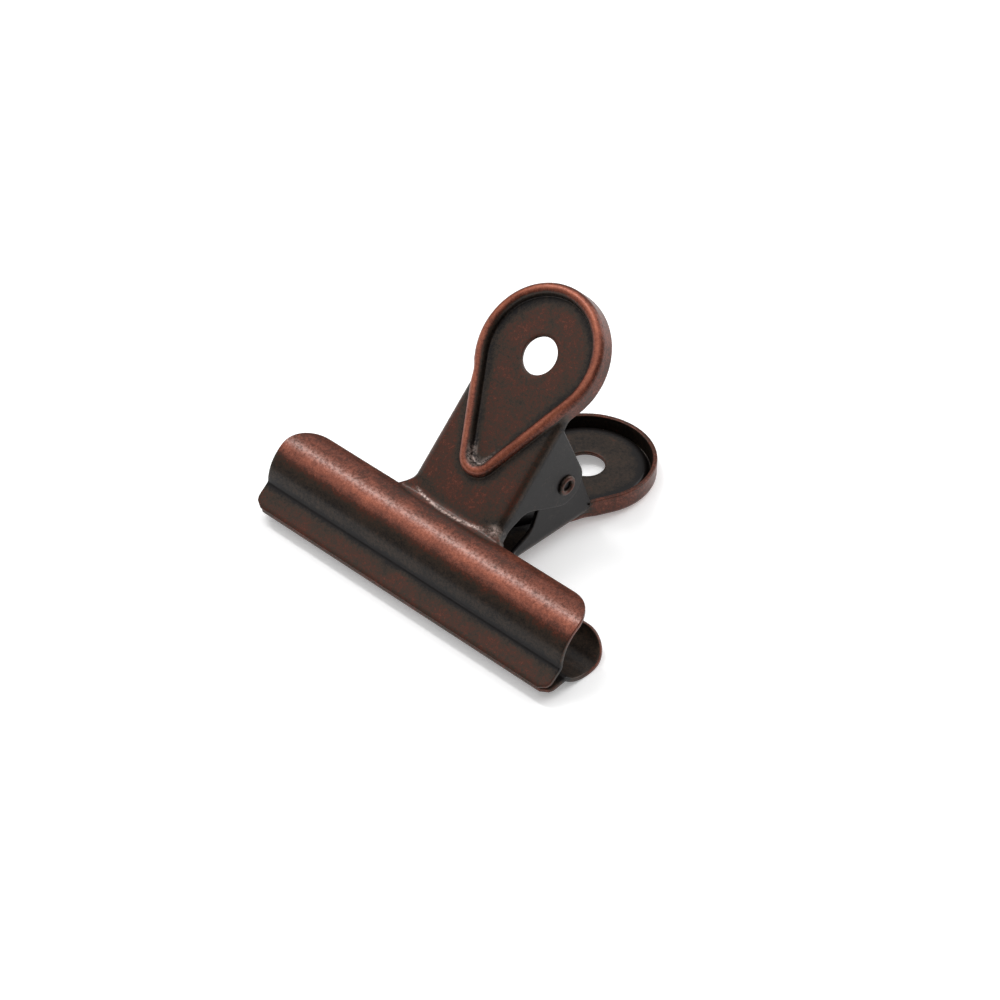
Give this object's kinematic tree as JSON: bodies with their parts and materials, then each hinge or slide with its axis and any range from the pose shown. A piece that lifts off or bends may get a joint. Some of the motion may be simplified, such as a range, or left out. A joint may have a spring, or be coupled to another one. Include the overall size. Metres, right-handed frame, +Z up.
{
  "type": "bulldog clip",
  "caption": "Sprung paper clip with two wide rolled jaws, teardrop handles with hanging holes, a hollow pin and a coil spring between them.",
  "frame": {"origin": "bottom centre of the box round the closed clip, which lies on its rear jaw's roll and handle", "axes": "+X along the lips, +Y from the lips to the handles, +Z up, from the rear jaw to the front jaw"},
  "size_m": [0.05, 0.0434, 0.0309],
  "materials": {
    "rear_jaw_steel": "sheet steel with antique red copper plating, satin, worn on the edges",
    "front_jaw_steel": "sheet steel with antique red copper plating, satin, worn on the bead and the roll",
    "pin_steel": "antique copper plating, rolled rims rubbed bright",
    "spring_wire": "drawn spring steel wire"
  },
  "bodies": {
    "rear": {"rear_jaw": "rear_jaw_steel", "torsion_spring": "spring_wire"},
    "front": {"front_jaw": "front_jaw_steel", "pivot_pin": "pin_steel"}
  },
  "joints": [
    {"name": "jaw_hinge", "type": "hinge", "parent": "rear", "child": "front", "pos_m": [0, 0.00082, 0.01015], "axis": [-1, 0, 0], "range_deg": [0, 77], "stiffness_Nm_per_rad": 0.04, "springref_deg": -51.57, "deforming": ["torsion_spring"]}
  ]
}
